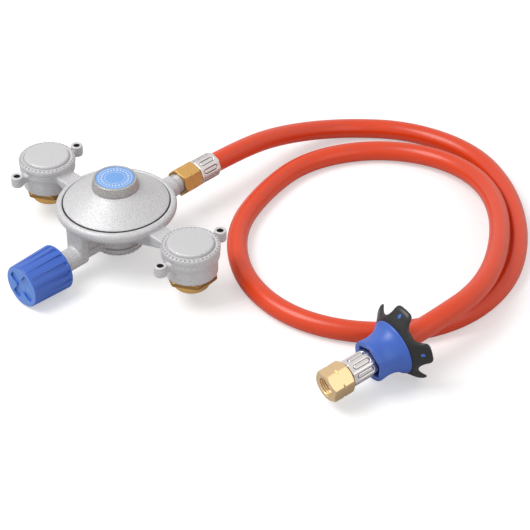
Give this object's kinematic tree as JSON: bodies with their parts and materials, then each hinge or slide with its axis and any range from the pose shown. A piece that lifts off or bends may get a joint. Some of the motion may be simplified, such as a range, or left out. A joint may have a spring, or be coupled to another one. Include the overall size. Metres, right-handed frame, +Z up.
{
  "type": "twin gas cartridge regulator with hose",
  "caption": "Low-pressure gas regulator with two cartridge pods, a shut-off knob, a coiled orange rubber hose and a hand wheel that slides onto the hose's swivel nut.",
  "frame": {"origin": "floor point under the middle of the regulator's box, without the hose and what is on its far end; the knob's rim rests on the floor", "axes": "+Z up, +X from the left pod to the right pod, +Y from the knob to the outlet"},
  "size_m": [0.3216, 0.3257, 0.0576],
  "materials": {
    "casting": "sand-blasted die casting",
    "brass": "machined brass",
    "blue_plastic": "satin blue moulding",
    "black_plastic": "black moulding",
    "label": "printed blue disc, left bare",
    "hose_rubber": "smooth orange rubber",
    "black_rubber": "black nitrile rubber",
    "plated_steel": "bright plated steel",
    "steel": "plain steel"
  },
  "bodies": {
    "regulator": {"manifold_body": "casting", "bottom_cover": "casting", "left_pod_cover": "casting", "right_pod_cover": "casting", "bonnet_cover": "casting", "adjuster_cap": "casting", "label_disc": "label", "adjusting_screw": "brass", "inlet_nozzle": "brass", "gland_nut": "brass", "left_connector": "brass", "right_connector": "brass", "outlet_nut": "brass", "outlet_tail": "brass", "end_tail": "brass", "left_opener_pin": "brass", "right_opener_pin": "brass", "main_spring": "steel", "left_check_spring": "steel", "right_check_spring": "steel", "lever_pin": "steel", "diaphragm": "black_rubber", "spindle_ring": "black_rubber", "left_gasket": "black_rubber", "right_gasket": "black_rubber", "outlet_ferrule": "plated_steel", "end_ferrule": "plated_steel", "hose": "hose_rubber"},
    "shut_off_knob": {"valve_knob": "blue_plastic"},
    "valve_stem": {"valve_spindle": "brass", "spindle_pad": "black_rubber"},
    "diaphragm_unit": {"diaphragm_plate": "steel", "diaphragm_stem": "brass"},
    "lever_arm": {"lever": "steel", "lever_pad": "black_rubber"},
    "left_check": {"left_check_disc": "brass"},
    "right_check": {"right_check_disc": "brass"},
    "swivel_nut": {"end_nut": "brass"},
    "hand_wheel": {"wheel_sleeve": "blue_plastic", "wheel_star": "black_plastic", "wheel_pegs": "blue_plastic"}
  },
  "joints": [
    {"name": "knob_turn", "type": "hinge", "parent": "regulator", "child": "shut_off_knob", "pos_m": [0, -0.06755, 0.015], "axis": [0, -1, 0], "range_deg": [0, 540]},
    {"name": "spindle_rise", "type": "slide", "parent": "shut_off_knob", "child": "valve_stem", "axis": [0, -1, 0], "range_m": [0, 0.0015]},
    {"name": "diaphragm_lift", "type": "slide", "parent": "regulator", "child": "diaphragm_unit", "axis": [0, 0, 1], "range_m": [0, 0.0013], "stiffness_N_per_m": 400, "springref_m": -0.004, "deforming": ["main_spring", "diaphragm"]},
    {"name": "lever_tilt", "type": "hinge", "parent": "regulator", "child": "lever_arm", "pos_m": [0, -0.01855, 0.0327], "axis": [1, 0, 0], "range_deg": [0, 4.7]},
    {"name": "left_check_lift", "type": "slide", "parent": "regulator", "child": "left_check", "axis": [0, 0, 1], "range_m": [0, 0.0015], "stiffness_N_per_m": 60, "springref_m": -0.003, "deforming": ["left_check_spring"]},
    {"name": "right_check_lift", "type": "slide", "parent": "regulator", "child": "right_check", "axis": [0, 0, 1], "range_m": [0, 0.0015], "stiffness_N_per_m": 60, "springref_m": -0.003, "deforming": ["right_check_spring"]},
    {"name": "nut_spin", "type": "hinge", "parent": "regulator", "child": "swivel_nut", "pos_m": [0.19888, -0.02115, 0.01614], "axis": [-0.183, -0.9734, -0.1381], "continuous": true},
    {"name": "wheel_slide", "type": "slide", "parent": "swivel_nut", "child": "hand_wheel", "axis": [-0.183, -0.9734, -0.1381], "range_m": [0, 0.0305]}
  ],
  "couplings": [
    {"joint": "spindle_rise", "follows": "knob_turn", "m_per_rad": 0.000159},
    {"joint": "lever_tilt", "follows": "diaphragm_lift", "rad_per_m": 62.5}
  ]
}
